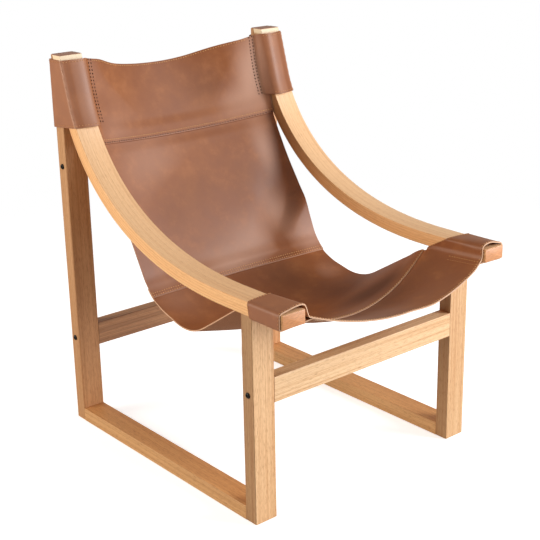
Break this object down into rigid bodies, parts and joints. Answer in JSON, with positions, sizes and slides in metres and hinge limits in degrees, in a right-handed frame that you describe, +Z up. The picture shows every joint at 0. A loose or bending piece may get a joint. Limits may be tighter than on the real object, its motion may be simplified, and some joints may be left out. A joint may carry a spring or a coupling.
{
  "type": "sling lounge chair",
  "caption": "Sling lounge chair with a bolted timber frame, bent arms that sweep up to the rear posts, and a stitched brown leather sling.",
  "frame": {"origin": "on the floor, in the middle of the chair's outline", "axes": "+Z up from the floor, -Y the way the sitter faces, X across the chair between the two side frames"},
  "size_m": [0.6924, 0.9182, 0.96],
  "materials": {
    "frame_wood": "oiled satin, laminated arms",
    "dowel_wood": "plain",
    "sling_leather": "waxed, soft sheen",
    "bolt_steel": "black oxide",
    "hidden_steel": "zinc plated"
  },
  "bodies": {
    "root": {"back_panel": "sling_leather", "front_band": "sling_leather", "front_barrel_nut_left": "hidden_steel", "front_barrel_nut_right": "hidden_steel", "front_bolt_left": "bolt_steel", "front_bolt_right": "bolt_steel", "front_dowel_left": "dowel_wood", "front_dowel_right": "dowel_wood", "front_stretcher": "frame_wood", "head_panel": "sling_leather", "left_arm": "frame_wood", "left_arm_dowel_inner": "dowel_wood", "left_arm_dowel_outer": "dowel_wood", "left_arm_screw_lower": "hidden_steel", "left_arm_screw_upper": "hidden_steel", "left_base_rail": "frame_wood", "left_front_leg": "frame_wood", "left_front_rail_dowel_inner": "dowel_wood", "left_front_rail_dowel_outer": "dowel_wood", "left_rear_post": "frame_wood", "left_rear_rail_dowel_inner": "dowel_wood", "left_rear_rail_dowel_outer": "dowel_wood", "lower_rear_barrel_nut_left": "hidden_steel", "lower_rear_barrel_nut_right": "hidden_steel", "lower_rear_bolt_left": "bolt_steel", "lower_rear_bolt_right": "bolt_steel", "lower_rear_dowel_left": "dowel_wood", "lower_rear_dowel_right": "dowel_wood", "lower_rear_stretcher": "frame_wood", "right_arm": "frame_wood", "right_arm_dowel_inner": "dowel_wood", "right_arm_dowel_outer": "dowel_wood", "right_arm_screw_lower": "hidden_steel", "right_arm_screw_upper": "hidden_steel", "right_base_rail": "frame_wood", "right_front_leg": "frame_wood", "right_front_rail_dowel_inner": "dowel_wood", "right_front_rail_dowel_outer": "dowel_wood", "right_rear_post": "frame_wood", "right_rear_rail_dowel_inner": "dowel_wood", "right_rear_rail_dowel_outer": "dowel_wood", "seat_panel": "sling_leather", "upper_rear_barrel_nut_left": "hidden_steel", "upper_rear_barrel_nut_right": "hidden_steel", "upper_rear_bolt_left": "bolt_steel", "upper_rear_bolt_right": "bolt_steel", "upper_rear_dowel_left": "dowel_wood", "upper_rear_dowel_right": "dowel_wood", "upper_rear_stretcher": "frame_wood"}
  },
  "joints": []
}
